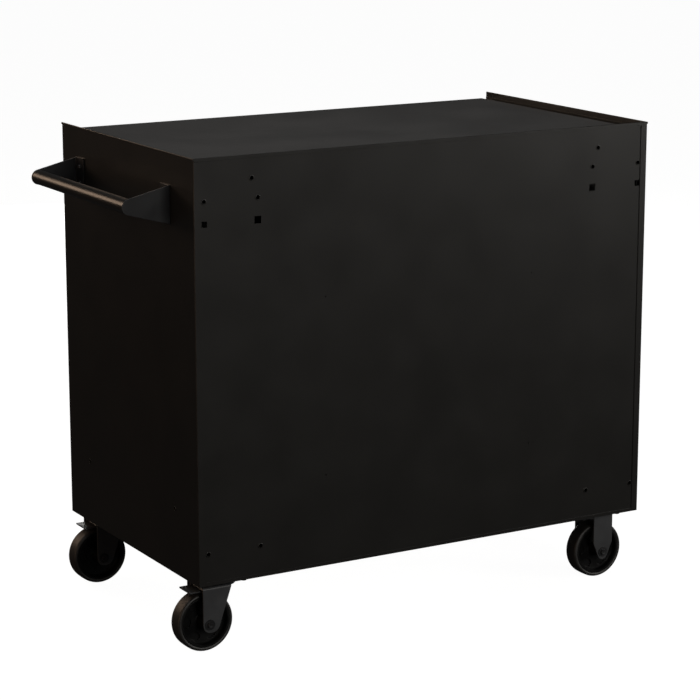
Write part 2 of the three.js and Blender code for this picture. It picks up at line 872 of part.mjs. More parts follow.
/** Foot pedal with a brake shoe under it, pivoted between the legs. */
function brakePedal() {
  const { halfWidth: half, pivotX, pivotZ, pivotRadius, freeEdge, top, thickness } = pedal;
  const plate = block(14.9, freeEdge, -half, half, top - thickness, top);
  const arm = block(pivotX - 2, 15.5, -half, half, pivotZ - 2, top);
  const shoe = block(pivotX + 2, 20, -13, 13, pivotZ - 6.3, top - 1);
  const pin = bar('y', pivotRadius, 2 * (half + 6), pivotX, 0, pivotZ, 16);
  return join(plate, arm, shoe, pin);
}

/** Rigid caster frame: the strap and its bolt plate are welded into one piece. */
function rigidFork() {
  const plateJoin = plateBottom + 1;
  const body = join(strap(plateJoin, rigidLegOutline(plateJoin + 1)), topPlate(0));
  return cut(body, ...boltHoles(0, plateTop));
}

for (const [end, side] of [['front', -1], ['rear', 1]]) {
  const swivel = new THREE.Group();
  swivel.position.set(caster.swivelWheelX, side * caster.trackHalf, 0);
  const axisX = caster.swivelAxisX - caster.swivelWheelX;
  place(`swivel_plate_${end}`, swivelPlate(axisX), forkPaint, swivel);
  place(`swivel_fork_${end}`, swivelFork(axisX), forkPaint, swivel);
  place(`swivel_tyre_${end}`, tyre(), tyreRubber, swivel);
  place(`swivel_hub_${end}`, hub(), hubPlastic, swivel);
  place(`swivel_axle_${end}`, axle(), zinc, swivel);
  place(`brake_pedal_${end}`, brakePedal(), forkPaint, swivel);
  chest.add(swivel);

  const rigid = new THREE.Group();
  rigid.position.set(caster.rigidWheelX, side * caster.trackHalf, 0);
  place(`rigid_fork_${end}`, rigidFork(), forkPaint, rigid);
  place(`rigid_tyre_${end}`, tyre(), tyreRubber, rigid);
  place(`rigid_hub_${end}`, hub(), hubPlastic, rigid);
  place(`rigid_axle_${end}`, axle(), zinc, rigid);
  chest.add(rigid);
}

const group = new THREE.Group();
group.add(chest);

export default group;
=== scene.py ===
"""The looks of a rolling tool chest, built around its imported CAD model.

Metres, in the CAD model's frame: +X is the handle end, -Y the drawer side, z = 0 the
floor. Sizes below are in millimetres and are turned into metres where they are used.
"""

import json
import math

import bmesh
import bpy
from mathutils import Matrix, Vector

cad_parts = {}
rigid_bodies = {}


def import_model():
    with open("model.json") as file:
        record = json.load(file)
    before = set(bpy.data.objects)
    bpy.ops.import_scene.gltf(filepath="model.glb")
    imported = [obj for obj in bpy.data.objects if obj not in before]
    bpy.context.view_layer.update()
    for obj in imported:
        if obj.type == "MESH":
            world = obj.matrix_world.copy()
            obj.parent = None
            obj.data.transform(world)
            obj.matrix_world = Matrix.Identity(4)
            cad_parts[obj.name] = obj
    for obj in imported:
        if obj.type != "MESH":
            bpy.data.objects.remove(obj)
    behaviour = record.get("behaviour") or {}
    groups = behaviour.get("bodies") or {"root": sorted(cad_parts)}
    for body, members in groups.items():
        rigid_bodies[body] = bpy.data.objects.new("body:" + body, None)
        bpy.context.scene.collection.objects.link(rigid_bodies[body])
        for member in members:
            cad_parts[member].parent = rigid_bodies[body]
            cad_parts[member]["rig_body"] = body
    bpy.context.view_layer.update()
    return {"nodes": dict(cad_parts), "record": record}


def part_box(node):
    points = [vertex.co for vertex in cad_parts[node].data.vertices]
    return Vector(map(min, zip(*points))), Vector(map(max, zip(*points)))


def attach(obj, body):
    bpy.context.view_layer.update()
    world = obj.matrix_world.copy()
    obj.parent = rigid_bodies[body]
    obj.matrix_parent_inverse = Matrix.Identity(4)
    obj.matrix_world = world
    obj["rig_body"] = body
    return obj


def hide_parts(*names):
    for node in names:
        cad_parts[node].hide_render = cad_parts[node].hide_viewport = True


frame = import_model()

MM = 0.001
NODES = frame["nodes"]
ENDS = ("front", "rear")
DRAWERS = range(1, 7)
SIDES = ("left", "right")

# ------------------------------------------------------------------ driving sizes, mm

CAMERA_AZIMUTH, CAMERA_ELEVATION = 149.861, 12.856  # degrees, round from the drawer side
CAMERA_LENS = 125.59
CAMERA_PLACE = (2569.0, 4501.1, 1703.7)

SHEET_BEVEL = 0.3
CAST_BEVEL = 0.8

TYRE_RADIUS = 62.3
TYRE_HALF_WIDTH = 18.0
RIM_RADIUS = 54.3
WHEEL_SEGMENTS = 96
HUB_POCKETS = 6

# Round holes of the back panel: distance from its middle, and height above the underside.
BACK_NUT_RADIUS = 6.0
BACK_HOLES = [
    (520.3, 779.0),
    (402.0, 779.0),
    (415.0, 818.4),
    (520.3, 65.5),
    (402.0, 65.5),
]
UNDERSIDE = 152.2
END_NUT_FACE = 542.5
END_NUT_SPREAD = 208.0
END_NUT_HEIGHT = 290.2

TRIM_OUTER = 540.6
TRIM_SHEET = 1.4
TRIM_HEIGHT = 6.5
TRIM_PAST_MAT = 12

HANDLE_WALL = 2
BRACKET_SHEET = 3
BRACKET_SCREW_INSET = 18
BRACKET_SCREW_HEIGHTS = (744.0, 780.0)

LINER_HALF_WIDTH = 508.5
LINER_FRONT, LINER_BACK = -298.0, 236.0
LINER_ABOVE_BASE = 7.4
LINER_SETBACK = 6
LINER_PITCH = 9.0
LINER_SHEET, LINER_RIB_TOP = 1.4, 2.4
PULL_CAP_SHEET = 2.4

BALL_RADIUS = 2.7
BALLS_IN_ROW = 7
BALL_PITCH = 16
BALL_ROW_OFFSET = 13.9
CARRIAGE_LENGTH = 120
CARRIAGE_SETBACK = 140

PLATE_BOLT_SPACING = (80.0, 60.0)
PLATE_SHEET = 3.6
RACE_HEIGHT = 141.4
KING_PIN_NUT_HEIGHT = 137.4

POCKET_RADIUS_ON_HUB = 36
POCKET_HALF_LENGTH, POCKET_HALF_WIDTH = 11.5, 9.0
POCKET_SEGMENTS = 28

SHARP_ANGLE = math.radians(32)
# Carries an outline's x and y to the model's y and z, and its depth to x.
ALONG_X = Matrix(((0, 0, 1, 0), (1, 0, 0, 0), (0, 1, 0, 0), (0, 0, 0, 1)))

# ----------------------------------------------------------------------- node shading


def wired(tree, kind, place, **values):
    """A shader node with some of its input sockets set."""
    node = tree.nodes.new(kind)
    node.location = place
    for key, value in values.items():
        node.inputs[key.replace("_", " ")].default_value = value
    return node


def noise(tree, coords, scale, detail, place, stretch=(1, 1, 1)):
    """Noise in the piece's own coordinates, stretched where a grain has a direction."""
    mapping = wired(tree, "ShaderNodeMapping", (place[0] - 200, place[1]))
    mapping.inputs["Scale"].default_value = stretch
    texture = wired(tree, "ShaderNodeTexNoise", place, Scale=scale, Detail=detail)
    tree.links.new(coords.outputs["Object"], mapping.inputs["Vector"])
    tree.links.new(mapping.outputs["Vector"], texture.inputs["Vector"])
    return texture


def ramp(tree, factor, low, high, place):
    """Maps a 0.3 to 0.7 noise onto a range of values."""
    node = wired(tree, "ShaderNodeMapRange", place)
    node.inputs["From Min"].default_value = 0.3
    node.inputs["From Max"].default_value = 0.7
    node.inputs["To Min"].default_value = low
    node.inputs["To Max"].default_value = high
    tree.links.new(factor, node.inputs["Value"])
    return node.outputs["Result"]


def surface(
    name,
    dark,
    light,
    rough,
    metallic=0.0,
    grain=700.0,
    bump=0.05,
    depth=0.0002,
    stretch=(1, 1, 1),
    patch=6.0,
    specular=0.5,
):
    """A finish with two scales of variation: broad patches of tone and roughness, and a
    fine grain that stands up as bump. dark and light are colours, rough is a pair."""
    material = bpy.data.materials.new(name)
    material.use_nodes = True
    tree = material.node_tree
    shader = tree.nodes["Principled BSDF"]
    coords = wired(tree, "ShaderNodeTexCoord", (-1200, 0))
    broad = noise(tree, coords, patch, 5.0, (-800, 300))
    fine = noise(tree, coords, grain, 3.0, (-800, -200), stretch)

    tone = wired(tree, "ShaderNodeMix", (-350, 300))
    tone.data_type = "RGBA"
    tone.inputs["A"].default_value = (*dark, 1)
    tone.inputs["B"].default_value = (*light, 1)
    patches = ramp(tree, broad.outputs["Fac"], 0, 1, (-580, 300))
    tree.links.new(patches, tone.inputs["Factor"])
    tree.links.new(tone.outputs["Result"], shader.inputs["Base Color"])

    mixed = wired(tree, "ShaderNodeMath", (-580, 60))
    mixed.operation = "MULTIPLY_ADD"
    mixed.inputs[1].default_value = 0.35
    tree.links.new(fine.outputs["Fac"], mixed.inputs[0])
    scaled = ramp(tree, broad.outputs["Fac"], 0.2, 0.45, (-780, 60))
    tree.links.new(scaled, mixed.inputs[2])
    roughness = ramp(tree, mixed.outputs["Value"], *rough, (-350, 60))
    tree.links.new(roughness, shader.inputs["Roughness"])

    relief = wired(tree, "ShaderNodeBump", (-350, -200), Strength=bump, Distance=depth)
    tree.links.new(fine.outputs["Fac"], relief.inputs["Height"])
    tree.links.new(relief.outputs["Normal"], shader.inputs["Normal"])

    shader.inputs["Metallic"].default_value = metallic
    shader.inputs["Specular IOR Level"].default_value = specular
    return material


PAINT = surface(
    "powder_coat", (0.0092, 0.0088, 0.0082), (0.0104, 0.0099, 0.0092), (0.31, 0.37),
    grain=520, bump=0.10, depth=0.00025, patch=9, specular=0.35,
)
INNER_PAINT = surface(
    "inner_coat", (0.008, 0.008, 0.008), (0.012, 0.012, 0.012), (0.42, 0.55),
    grain=420, bump=0.12, depth=0.0003, specular=0.35,
)
FORK_PAINT = surface(
    "bracket_coat", (0.007, 0.0075, 0.009), (0.011, 0.012, 0.014), (0.28, 0.42),
    grain=600, bump=0.14, depth=0.0003, patch=18, specular=0.5,
)
CASTER_PAINT = surface(
    "caster_plating", (0.026, 0.027, 0.029), (0.038, 0.039, 0.042), (0.34, 0.48),
    grain=600, bump=0.14, depth=0.0003, patch=18, specular=0.5,
)
ZINC = surface(
    "zinc_plate", (0.36, 0.37, 0.39), (0.52, 0.53, 0.54), (0.25, 0.42),
    metallic=1, grain=240, bump=0.06, stretch=(1, 0.05, 1), patch=22,
)
DARK_ZINC = surface(
    "black_zinc", (0.022, 0.022, 0.024), (0.05, 0.05, 0.052), (0.3, 0.45),
    metallic=0.7, grain=500, bump=0.08, patch=30,
)
CHROME = surface(
    "chrome_plate", (0.55, 0.55, 0.56), (0.66, 0.66, 0.67), (0.08, 0.16),
    metallic=1, grain=900, bump=0.02, patch=30,
)
ALUMINIUM = surface(
    "brushed_aluminium", (0.30, 0.305, 0.315), (0.40, 0.405, 0.41), (0.28, 0.40),
    metallic=1, grain=320, bump=0.10, stretch=(0.02, 1, 1), patch=9,
)
MAT = surface(
    "tray_mat_rubber", (0.0125, 0.0122, 0.0118), (0.0175, 0.017, 0.0165), (0.46, 0.60),
    grain=900, bump=0.30, depth=0.0004, patch=5, specular=0.6,
)
LINER = surface(
    "drawer_liner_foam", (0.012, 0.012, 0.013), (0.02, 0.02, 0.021), (0.7, 0.85),
    grain=1400, bump=0.4, depth=0.0004, patch=12,
)
TYRE = surface(
    "tyre_rubber", (0.0075, 0.007, 0.0065), (0.013, 0.0122, 0.0115), (0.42, 0.60),
    grain=520, bump=0.22, depth=0.0004, patch=26, specular=0.45,
)
# Near-black, darker than any paint: the moulding's own black plus painted shade, standing in for
# the shade in the hub's recess inside the tyre. The pull caps share this painted-dark tone.
HUB = surface(
    "moulded_hub", (0.0016, 0.0016, 0.0017), (0.0028, 0.0028, 0.003), (0.36, 0.48),
    grain=800, bump=0.10, depth=0.0002, patch=30, specular=0.2,
)
SLOT_FINISH = {
    "paint": PAINT,
    "inner_paint": INNER_PAINT,
    "fork_paint": FORK_PAINT,
    "zinc": ZINC,
    "chrome": CHROME,
    "aluminium": ALUMINIUM,
    "mat_rubber": MAT,
    "tyre_rubber": TYRE,
    "hub_plastic": HUB,
}
NODE_SLOT = {row["node"]: row["material_slot"] for row in frame["record"]["subparts"]}

# -------------------------------------------------------------------- making a piece


def piece(name, mesh, body, slot, finish=None):
    """Puts a bmesh into the scene as a smooth-shaded object that rides on a body."""
    bmesh.ops.recalc_face_normals(mesh, faces=mesh.faces)
    for face in mesh.faces:
        face.smooth = True
    data = bpy.data.meshes.new(name)
    mesh.to_mesh(data)
    mesh.free()
    data.set_sharp_from_angle(angle=SHARP_ANGLE)
    data.materials.append(finish or SLOT_FINISH[slot])
    made = bpy.data.objects.new(name, data)
    bpy.context.scene.collection.objects.link(made)
    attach(made, body)
    return made


def rounded(made, width, segments=2, angle=35):
    """Rounds a piece's sharp edges by a little, as folding, casting or paint does."""
    bevel = made.modifiers.new("edges", "BEVEL")
    bevel.width = width * MM
    bevel.segments = segments
    bevel.limit_method = "ANGLE"
    bevel.angle_limit = math.radians(angle)
    normals = made.modifiers.new("normals", "WEIGHTED_NORMAL")
    normals.keep_sharp = True
    normals.weight = 100
    return made


def refined(node, width, finish=None):
    """Stands for a CAD node with the same shape: flat faces merged and edges rounded."""
    mesh = bmesh.new()
    mesh.from_mesh(NODES[node].data)
    bmesh.ops.remove_doubles(mesh, verts=mesh.verts, dist=0.01 * MM)
    bmesh.ops.dissolve_limit(
        mesh, angle_limit=math.radians(0.5), verts=mesh.verts, edges=mesh.edges
    )
    made = piece(node + "_skin", mesh, NODES[node]["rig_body"], NODE_SLOT[node], finish)
    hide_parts(node)
    return rounded(made, width)


def turn(mesh, profile, segments, place):
    """Adds a ring or disc turned from (radius, along) points. place maps z to its axis."""
    rings = []
    for k in range(segments):
        angle = 2 * math.pi * k / segments
        spot = []
        for radius, along in profile:
            point = Vector((radius * math.cos(angle), radius * math.sin(angle), along)) * MM
            spot.append(mesh.verts.new(place @ point))
        rings.append(spot)
    for k in range(segments):
        here, there = rings[k], rings[(k + 1) % segments]
        for a in range(len(profile) - 1):
            mesh.faces.new((here[a], there[a], there[a + 1], here[a + 1]))
    bmesh.ops.remove_doubles(mesh, verts=mesh.verts, dist=0.002 * MM)


def facing(x, y, z, direction):
    """A place in mm whose local z points along a direction."""
    spin = Vector(direction).to_track_quat("Z", "Y").to_matrix().to_4x4()
    return Matrix.Translation(Vector((x, y, z)) * MM) @ spin


def arc(centre, radius, start, stop, steps):
    """Points of a round stretch of a profile, from one angle in degrees to another."""
    points = []
    for k in range(steps + 1):
        angle = math.radians(start + (stop - start) * k / steps)
        points.append(
            (centre[0] + radius * math.cos(angle), centre[1] + radius * math.sin(angle))
        )
    return points


def middle(node):
    """The centre of a node's box, in mm."""
    low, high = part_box(node)
    return (low + high) / 2 / MM


def prism(mesh, outline, low, high, place):
    """Adds a closed solid drawn from an outline in x and y, between two heights."""
    bottom = [mesh.verts.new(place @ (Vector((x, y, low)) * MM)) for x, y in outline]
    top = [mesh.verts.new(place @ (Vector((x, y, high)) * MM)) for x, y in outline]
    mesh.faces.new(list(reversed(bottom)))
    mesh.faces.new(top)
    count = len(outline)
    for k in range(count):
        mesh.faces.new((bottom[k], bottom[(k + 1) % count], top[(k + 1) % count], top[k]))


def block(mesh, low, high):
    """Adds a block between two corners in mm."""
    corners = [(low[0], low[1]), (high[0], low[1]), (high[0], high[1]), (low[0], high[1])]
    prism(mesh, corners, low[2], high[2], Matrix.Identity(4))


# -------------------------------------------------------------------------- fasteners


def rivet_nut(mesh, place, bore, flange, height=0.9, depth=7.0):
    """A thin flanged sleeve set in a hole, open through the middle."""
    profile = [(bore, -depth), (bore, height - 0.3), (bore + 0.3, height)]
    profile += arc((flange - height, 0), height, 90, 0, 4)
    profile += [(bore + 0.5, 0.05), (bore + 0.5, -depth), (bore, -depth)]
    turn(mesh, profile, 32, place)


def socket_screw(mesh, place, radius=5.2, height=2.8):
    """A button head screw with a hexagon socket and a thin washer under it."""
    washer = [(0.001, 0), (radius + 2.2, 0), (radius + 2.2, 1.0), (0.001, 1.0)]
    turn(mesh, washer, 36, place)
    head = [(1.9, 1.4), (1.9, 1.0 + height - 0.25), (2.15, 1.0 + height)]
    head += arc((radius - height + 0.6, 1.6), height - 0.6, 78, 0, 6)
    head += [(radius, 1.01), (0.001, 1.01)]
    turn(mesh, head, 36, place)
    turn(mesh, [(0.001, 1.6), (1.95, 1.6), (1.95, 1.2), (0.001, 1.2)], 6, place)


def hexagon(across):
    """The corners of a hexagon with a given width across its flats."""
    corner = across / math.sqrt(3)
    angles = [math.radians(60 * k) for k in range(6)]
    return [(corner * math.cos(angle), corner * math.sin(angle)) for angle in angles]


def hex_bolt(mesh, place, across=13.0, height=4.6, washer=9.0):
    """A hexagon head with a chamfered face, on a washer."""
    turn(mesh, [(0.001, 0), (washer, 0), (washer, 1.3), (0.001, 1.3)], 36, place)
    prism(mesh, hexagon(across), 1.3, 1.3 + height * 0.8, place)
    rim = across / 2
    cap = [(0.001, 1.3 + height * 0.7), (rim, 1.3 + height * 0.7), (rim * 0.93, 1.3 + height)]
    cap += [(rim * 0.6, 1.3 + height), (rim * 0.55, 1.2 + height), (0.001, 1.2 + height)]
    turn(mesh, cap, 36, place)


# ------------------------------------------------------------------------- the cabinet

SHELL_NODES = ["end_panel_right", "end_panel_left", "back_panel", "top_panel", "bottom_panel"]
SHELL_NODES += ["front_top_rail", "front_bottom_rail", "inner_side_right", "inner_side_left"]

PANEL_MIDDLE = middle("back_panel").x
PANEL_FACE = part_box("back_panel")[1].y / MM


def cabinet_shell():
    """The folded sheets of the body."""
    for node in SHELL_NODES:
        refined(node, SHEET_BEVEL)


def back_fasteners():
    """A rivet nut in each round hole of the back panel."""
    nuts = bmesh.new()
    for side in (-1, 1):
        for x, height in BACK_HOLES:
            spot = facing(PANEL_MIDDLE + side * x, PANEL_FACE, UNDERSIDE + height, (0, 1, 0))
            rivet_nut(nuts, spot, bore=4.0, flange=BACK_NUT_RADIUS)
    piece("back_rivet_nuts", nuts, "cabinet", "paint")


def end_panel_nuts():
    """A small rivet nut in each hole of the end panels."""
    for side, sign in (("right", 1), ("left", -1)):
        low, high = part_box(f"end_panel_{side}")
        wall = PANEL_MIDDLE + sign * END_NUT_FACE
        centre_y = (low.y + high.y) / 2 / MM
        nuts = bmesh.new()
        for y in (centre_y - END_NUT_SPREAD, centre_y + END_NUT_SPREAD):
            spot = facing(wall, y, END_NUT_HEIGHT, (sign, 0, 0))
            rivet_nut(nuts, spot, bore=3.2, flange=5.0, height=0.6)
        piece(f"end_panel_nuts_{side}", nuts, "cabinet", "paint")


def tray_mat():
    """The rubber mat in the tray, with a soft rolled edge."""
    refined("top_mat", 1.2)


def tray_trims():
    """A thin upturned strip along the foot of each end lip."""
    centre = middle("top_panel")
    low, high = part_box("top_mat")
    for side, sign in (("right", 1), ("left", -1)):
        outer = centre.x + sign * TRIM_OUTER
        inner = outer - sign * TRIM_SHEET
        foot = low.z / MM + 0.1
        near = (min(outer, inner), low.y / MM, foot)
        far = (max(outer, inner), high.y / MM + TRIM_PAST_MAT, foot + TRIM_HEIGHT)
        strip = bmesh.new()
        block(strip, near, far)
        made = piece(f"tray_trim_{side}", strip, "cabinet", "paint")
        rounded(made, 0.6, segments=3)


# -------------------------------------------------------------------------- the handle


def push_handle():
    """The open-ended grip tube, its two bent brackets and the screws that hold them."""
    low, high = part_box("handle_tube")
    centre = middle("handle_tube")
    radius = (high.z - low.z) / 2 / MM
    half = (high.y - low.y) / 2 / MM
    bore = radius - HANDLE_WALL
    profile = [(bore, -half), (radius - 0.6, -half), (radius, -half + 0.6)]
    profile += [(radius, half - 0.6), (radius - 0.6, half), (bore, half), (bore, -half)]
    tube = bmesh.new()
    turn(tube, profile, 96, facing(*centre, (0, 1, 0)))
    made = piece("handle_grip_tube", tube, "cabinet", "paint")
    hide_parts("handle_tube")
    for end, inward in (("rear", -1), ("front", 1)):
        node = f"handle_bracket_{end}"
        refined(node, 0.6)
        low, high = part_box(node)
        outer = (high.y if end == "rear" else low.y) / MM
        screws = bmesh.new()
        x = low.x / MM + BRACKET_SHEET
        y = outer + inward * (BRACKET_SHEET + BRACKET_SCREW_INSET)
        for height in BRACKET_SCREW_HEIGHTS:
            socket_screw(screws, facing(x, y, UNDERSIDE + height, (1, 0, 0)))
        piece(f"handle_screws_{end}", screws, "cabinet", "zinc", DARK_ZINC)


# ---------------------------------------------------------------------------- the lock


def cam_lock():
    """The lock's housing, plug and bar, and the ring nut behind the rail."""
    refined("lock_housing", 0.4)
    refined("lock_plug", 0.2)
    refined("lock_bar", 0.3)
    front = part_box("lock_housing")[0].y / MM
    centre = middle("lock_housing")
    nut = bmesh.new()
    spot = facing(centre.x, front + 4.4, centre.z, (0, 1, 0))
    ring = [(9.8, 0), (12.5, 0), (13.2, 0.7), (13.2, 3.2), (12.5, 3.9), (9.8, 3.9), (9.8, 0)]
    turn(nut, ring, 24, spot)
    piece("lock_ring_nut", nut, "cabinet", "zinc")


# ------------------------------------------------------------------------- the drawers


def drawer_liner(number):
    """Ribbed foam sheet on the drawer's floor."""
    centre = middle(f"drawer_{number}_box")
    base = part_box(f"drawer_{number}_box")[0].z / MM + LINER_ABOVE_BASE
    valley, crest = base + LINER_SHEET, base + LINER_RIB_TOP
    start = centre.y - (LINER_BACK - LINER_FRONT) / 2 - LINER_SETBACK
    steps = int((LINER_BACK - LINER_FRONT) / LINER_PITCH)
    outline = [(start, base)]
    for k in range(steps):
        y = start + k * LINER_PITCH
        outline += [(y, valley), (y + 1.4, crest), (y + 4.0, crest), (y + 5.4, valley)]
    stop = start + steps * LINER_PITCH
    outline += [(stop, valley), (stop, base)]
    sheet = bmesh.new()
    prism(sheet, outline, centre.x - LINER_HALF_WIDTH, centre.x + LINER_HALF_WIDTH, ALONG_X)
    piece(f"drawer_{number}_liner", sheet, f"drawer_{number}", "mat_rubber", LINER)


def pull_caps(number):
    """Moulded caps that close the ends of a drawer's pull."""
    low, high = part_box(f"drawer_{number}_pull")
    top, bottom = high.z / MM, low.z / MM
    front, back = low.y / MM, high.y / MM
    outline = [(back, bottom), (back, top)]
    outline += arc((front + 6, top - 6), 6, 90, 180, 6)
    outline += [(front, top - 14), (front + 4, top - 14)]
    outline += arc((front + 9, top - 12), 5, 180, 90, 4)
    outline += [(back - 4, top - 8), (back - 3, bottom)]
    left, right = low.x / MM, high.x / MM
    caps = bmesh.new()
    prism(caps, outline, left - PULL_CAP_SHEET, left - 0.1, ALONG_X)
    prism(caps, outline, right + 0.1, right + PULL_CAP_SHEET, ALONG_X)
    made = piece(f"drawer_{number}_pull_caps", caps, f"drawer_{number}", "hub_plastic")
    rounded(made, 0.4)


def ball_carriage(number, side):
    """Two rows of balls in a bent strip, at the back of the drawer's runner."""
    sign = 1 if side == "right" else -1
    centre = middle(f"drawer_{number}_slide_{side}")
    x = centre.x - sign * 0.2
    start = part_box(f"drawer_{number}_slide_{side}")[1].y / MM - CARRIAGE_SETBACK
    stop = start + CARRIAGE_LENGTH
    ball = arc((0, 0), BALL_RADIUS, -90, 90, 8)
    ball[0], ball[-1] = (0.001, -BALL_RADIUS), (0.001, BALL_RADIUS)
    mesh = bmesh.new()
    for level in (-1, 1):
        z = centre.z + level * BALL_ROW_OFFSET
        for k in range(BALLS_IN_ROW):
            turn(mesh, ball, 12, facing(x, start + 12 + BALL_PITCH * k, z, (0, 1, 0)))
        block(mesh, (x - 2.9, start, z - 0.4), (x + 2.9, stop, z + 0.4))
    piece(f"drawer_{number}_balls_{side}", mesh, f"drawer_{number}", "zinc")


def drawers():
    """Each drawer with its pull, liner, slides and balls."""
    for number in DRAWERS:
        refined(f"drawer_{number}_box", SHEET_BEVEL)
        refined(f"drawer_{number}_pull", SHEET_BEVEL)
        drawer_liner(number)
        pull_caps(number)
        for side in SIDES:
            refined(f"drawer_{number}_slide_{side}", 0.2)
            ball_carriage(number, side)


# ------------------------------------------------------------------------- the casters


def tyre(node):
    """Rubber tread with a crowned face and round shoulders."""
    half = TYRE_HALF_WIDTH
    corner = 5.0
    wall = [(RIM_RADIUS + 0.1, half - 1), (RIM_RADIUS + 1.6, half - 0.2)]
    wall += [(TYRE_RADIUS - corner, half)]
    shoulder = arc((TYRE_RADIUS - corner - 0.3, half - corner), corner, 90, 5, 8)
    face = [(TYRE_RADIUS - 0.15, half - corner - 3), (TYRE_RADIUS, 3.0), (TYRE_RADIUS, 0.4)]
    outer = wall + shoulder + face
    mirrored = [(radius, -along) for radius, along in reversed(outer)]
    profile = outer + mirrored + [outer[0]]
    mesh = bmesh.new()
    turn(mesh, profile, WHEEL_SEGMENTS, facing(*middle(node), (0, 1, 0)))
    made = piece(node + "_rubber", mesh, NODES[node]["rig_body"], "tyre_rubber")
    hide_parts(node)


def hub_profile():
    """Half of the hub's section: rim with a rolled edge, dished web and long boss."""
    half = TYRE_HALF_WIDTH - 1
    rim = [(RIM_RADIUS, 0), (RIM_RADIUS, half - 0.8)]
    rim += arc((RIM_RADIUS - 0.8, half - 0.8), 0.8, 0, 90, 3)
    rim += [(RIM_RADIUS - 3.4, half)]
    dish = [(RIM_RADIUS - 4.6, half - 1.2), (RIM_RADIUS - 6.0, 6.0), (RIM_RADIUS - 8.0, 4.2)]
    web = [(34.0, 3.6), (20.0, 4.0), (16.4, 5.6)]
    boss = [(13.6, 12.0), (13.0, 26.0), (12.2, 30.2), (11.4, 31.0)]
    boss += [(6.4, 31.0), (6.3, 30.0), (6.3, 0)]
    return rim + dish + web + boss


def hub(node):
    """A wheel's moulding, turned and then cut with a ring of blind pockets on each face."""
    outer = hub_profile()
    mirrored = [(radius, -along) for radius, along in reversed(outer[1:-1])]
    profile = outer + mirrored + [outer[0]]
    mesh = bmesh.new()
    centre = middle(node)
    turn(mesh, profile, WHEEL_SEGMENTS, facing(*centre, (0, 1, 0)))
    made = piece(node + "_moulding", mesh, NODES[node]["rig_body"], "hub_plastic")
    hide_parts(node)

    oval = []
    for step in range(POCKET_SEGMENTS):
        angle = 2 * math.pi * step / POCKET_SEGMENTS
        oval.append((POCKET_HALF_LENGTH * math.cos(angle), POCKET_HALF_WIDTH * math.sin(angle)))
    at_hub = Matrix.Translation(centre * MM)
    cutters = bmesh.new()
    for k in range(HUB_POCKETS):
        turned = Matrix.Rotation(math.radians(360 / HUB_POCKETS * (k + 0.5)), 4, "Y")
        for face in (-1, 1):
            on_web = facing(0, face, POCKET_RADIUS_ON_HUB, (0, face, 0))
            prism(cutters, oval, 0, 20, at_hub @ turned @ on_web)
    cut_pockets(made, cutters)
    rounded(made, 0.5, angle=50)


def cut_pockets(made, cutters):
    """Cuts a mesh out of a piece and keeps the result as the piece's own mesh."""
    bmesh.ops.recalc_face_normals(cutters, faces=cutters.faces)
    data = bpy.data.meshes.new("cutter")
    cutters.to_mesh(data)
    cutters.free()
    tool = bpy.data.objects.new("cutter", data)
    bpy.context.scene.collection.objects.link(tool)
    boolean = made.modifiers.new("pockets", "BOOLEAN")
    boolean.operation = "DIFFERENCE"
    boolean.object = tool
    bpy.context.view_layer.update()
    evaluated = made.evaluated_get(bpy.context.evaluated_depsgraph_get())
    cut = bpy.data.meshes.new_from_object(evaluated)
    made.modifiers.clear()
    made.data = cut
    bpy.data.objects.remove(tool)
    cut.set_sharp_from_angle(angle=SHARP_ANGLE)


def axle(node):
    """Axle with a bolt head at one end and a locknut at the other, each on a washer."""
    low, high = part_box(node)
    centre = middle(node)
    half = (high.y - low.y) / 2 / MM
    head = 4.5
    mesh = bmesh.new()
    shank = [(0.001, -half + 2), (6.0, -half + 2), (6.0, half - 2), (0.001, half - 2)]
    turn(mesh, shank, 32, facing(*centre, (0, 1, 0)))
    for sign in (-1, 1):
        seat = centre.y + sign * (half - head)
        spot = facing(centre.x, seat, centre.z, (0, sign, 0))
        hex_bolt(mesh, spot, across=11.5, height=3.2, washer=11)
    made = piece(node + "_bolt", mesh, NODES[node]["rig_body"], "zinc", DARK_ZINC)
    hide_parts(node)


def plate_bolts(node, name):
    """Four bolts up through a caster's top plate."""
    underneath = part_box(node)[1].z / MM - PLATE_SHEET
    centre = middle(node)
    bolts = bmesh.new()
    for dx in (-1, 1):
        for dy in (-1, 1):
            x = centre.x + dx * PLATE_BOLT_SPACING[0] / 2
            y = centre.y + dy * PLATE_BOLT_SPACING[1] / 2
            spot = facing(x, y, underneath, (0, 0, -1))
            hex_bolt(bolts, spot, across=12, height=4.2, washer=8)
    piece(name, bolts, "cabinet", "zinc", DARK_ZINC)


def swivel_race(end):
    """The pressed cup that holds the swivel's balls, and the nut under the king pin."""
    centre = middle(f"swivel_plate_{end}")
    cup = [(30.2, 0.2), (31.4, 0.2)] + arc((31.4, 2.4), 2.2, -90, 60, 6)
    cup += [(30.8, 6.6), (30.2, 6.6), (30.2, 0.2)]
    mesh = bmesh.new()
    turn(mesh, cup, 64, facing(centre.x, centre.y, RACE_HEIGHT, (0, 0, 1)))
    piece(f"swivel_race_{end}", mesh, "cabinet", "fork_paint")
    nut = bmesh.new()
    spot = facing(centre.x, centre.y, KING_PIN_NUT_HEIGHT, (0, 0, -1))
    hex_bolt(nut, spot, across=17, height=5, washer=12)
    piece(f"king_pin_nut_{end}", nut, f"swivel_{end}", "zinc", DARK_ZINC)


